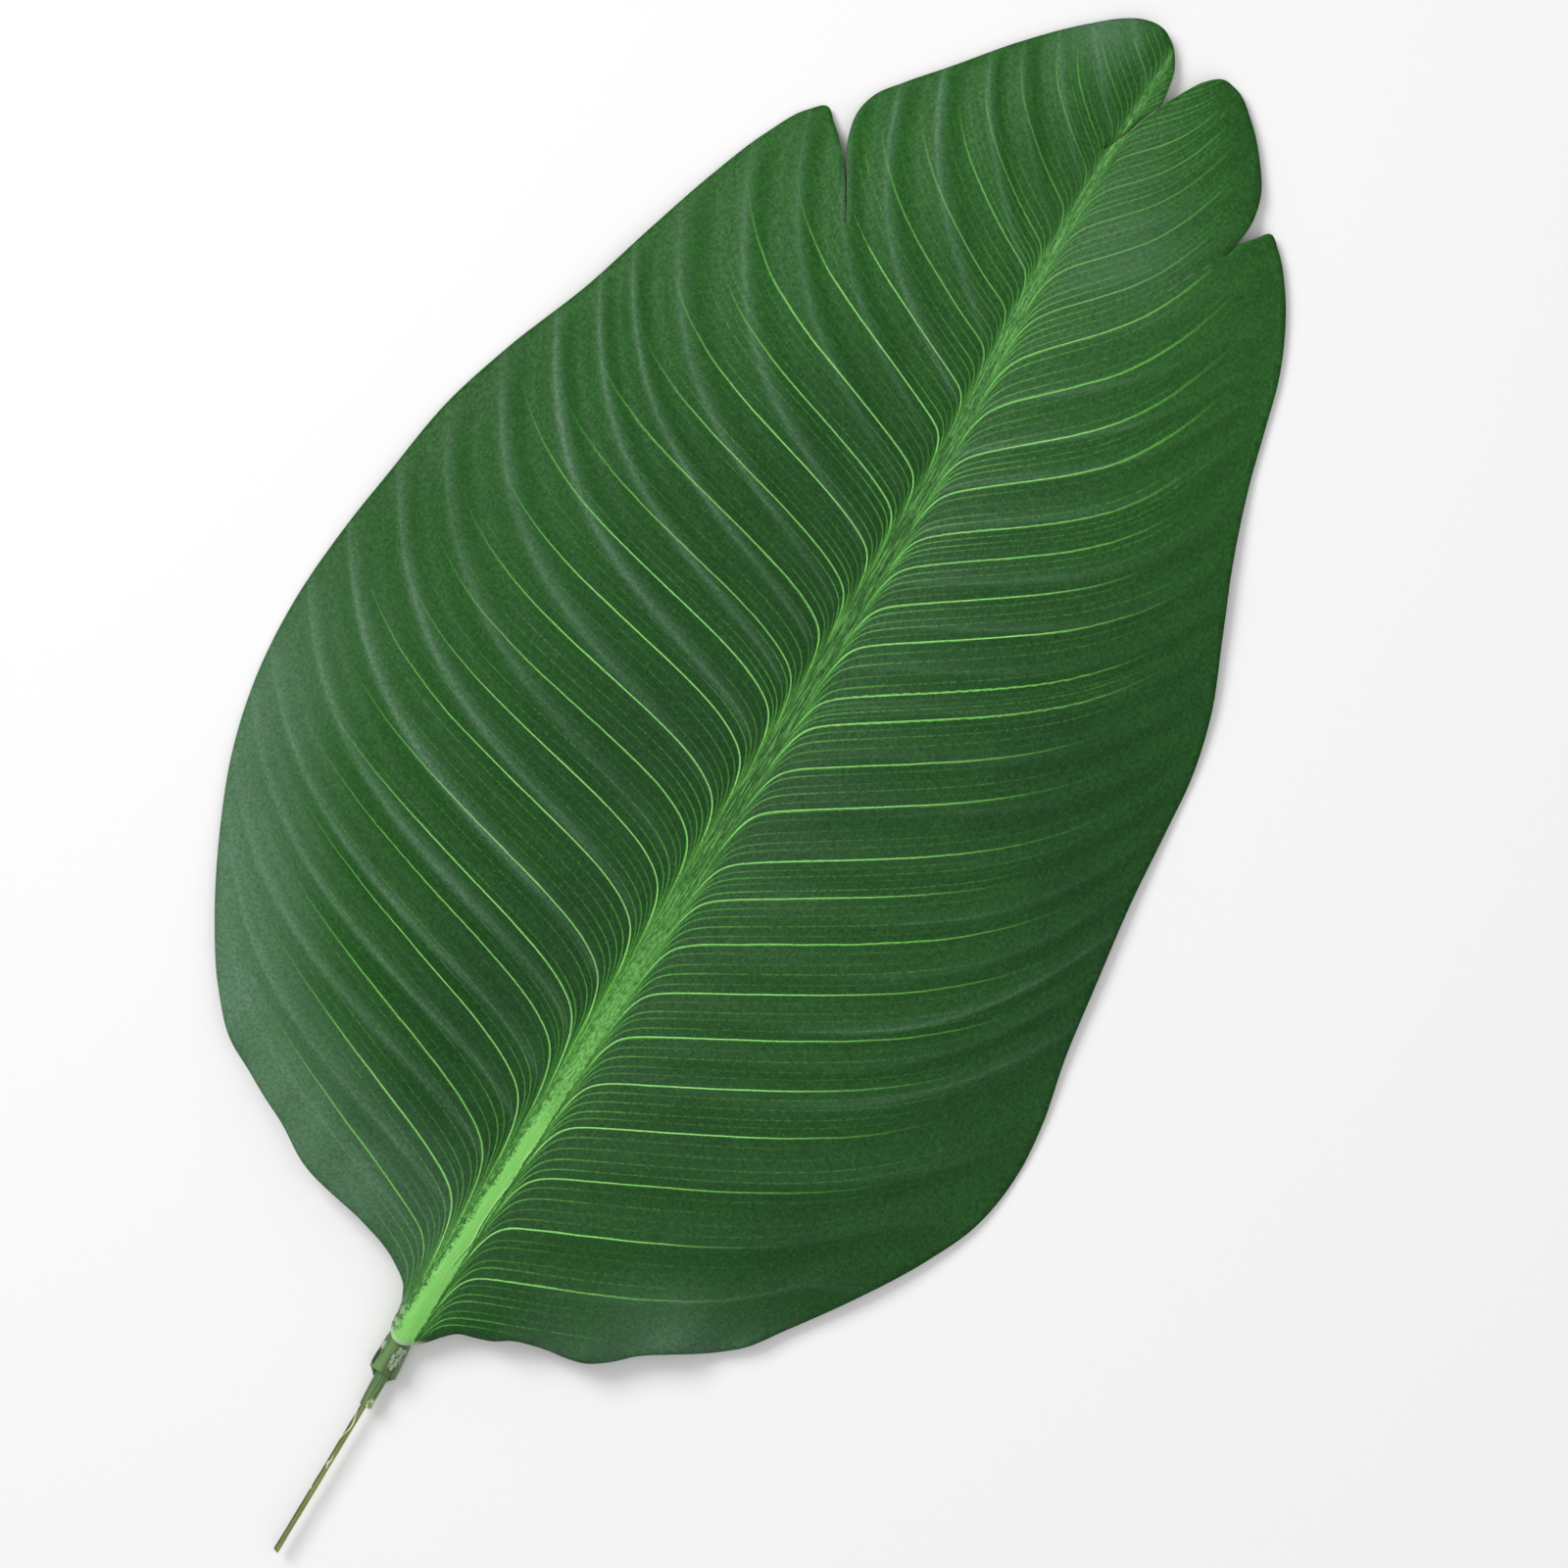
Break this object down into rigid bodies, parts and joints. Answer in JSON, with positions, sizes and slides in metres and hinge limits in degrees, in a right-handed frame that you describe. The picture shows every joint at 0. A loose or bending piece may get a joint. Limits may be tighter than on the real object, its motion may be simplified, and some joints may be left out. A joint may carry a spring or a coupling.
{
  "type": "artificial banana leaf",
  "caption": "Large artificial banana leaf lying face up: pleated blade with torn margins on a moulded midrib spine, with a collar, plug and coated wire stem.",
  "frame": {"origin": "middle of the leaf's footprint, on the surface it lies on", "axes": "+Y along the leaf from stem to tip, +Z out of the blade's upper face, +X to the right seen from above with the tip up"},
  "size_m": [0.3752, 0.7202, 0.0241],
  "materials": {
    "leaf_sheet": "satin, printed and pressed sheet",
    "spine_plastic": "satin moulded plastic",
    "plug_plastic": "satin moulded plastic",
    "wire_coating": "glossy dipped plastic",
    "wire_steel": "bare cut steel wire"
  },
  "bodies": {
    "root": {"blade": "leaf_sheet", "spine": "spine_plastic", "collar": "spine_plastic", "plug": "plug_plastic", "wire_coat": "wire_coating", "wire_core": "wire_steel"}
  },
  "joints": []
}
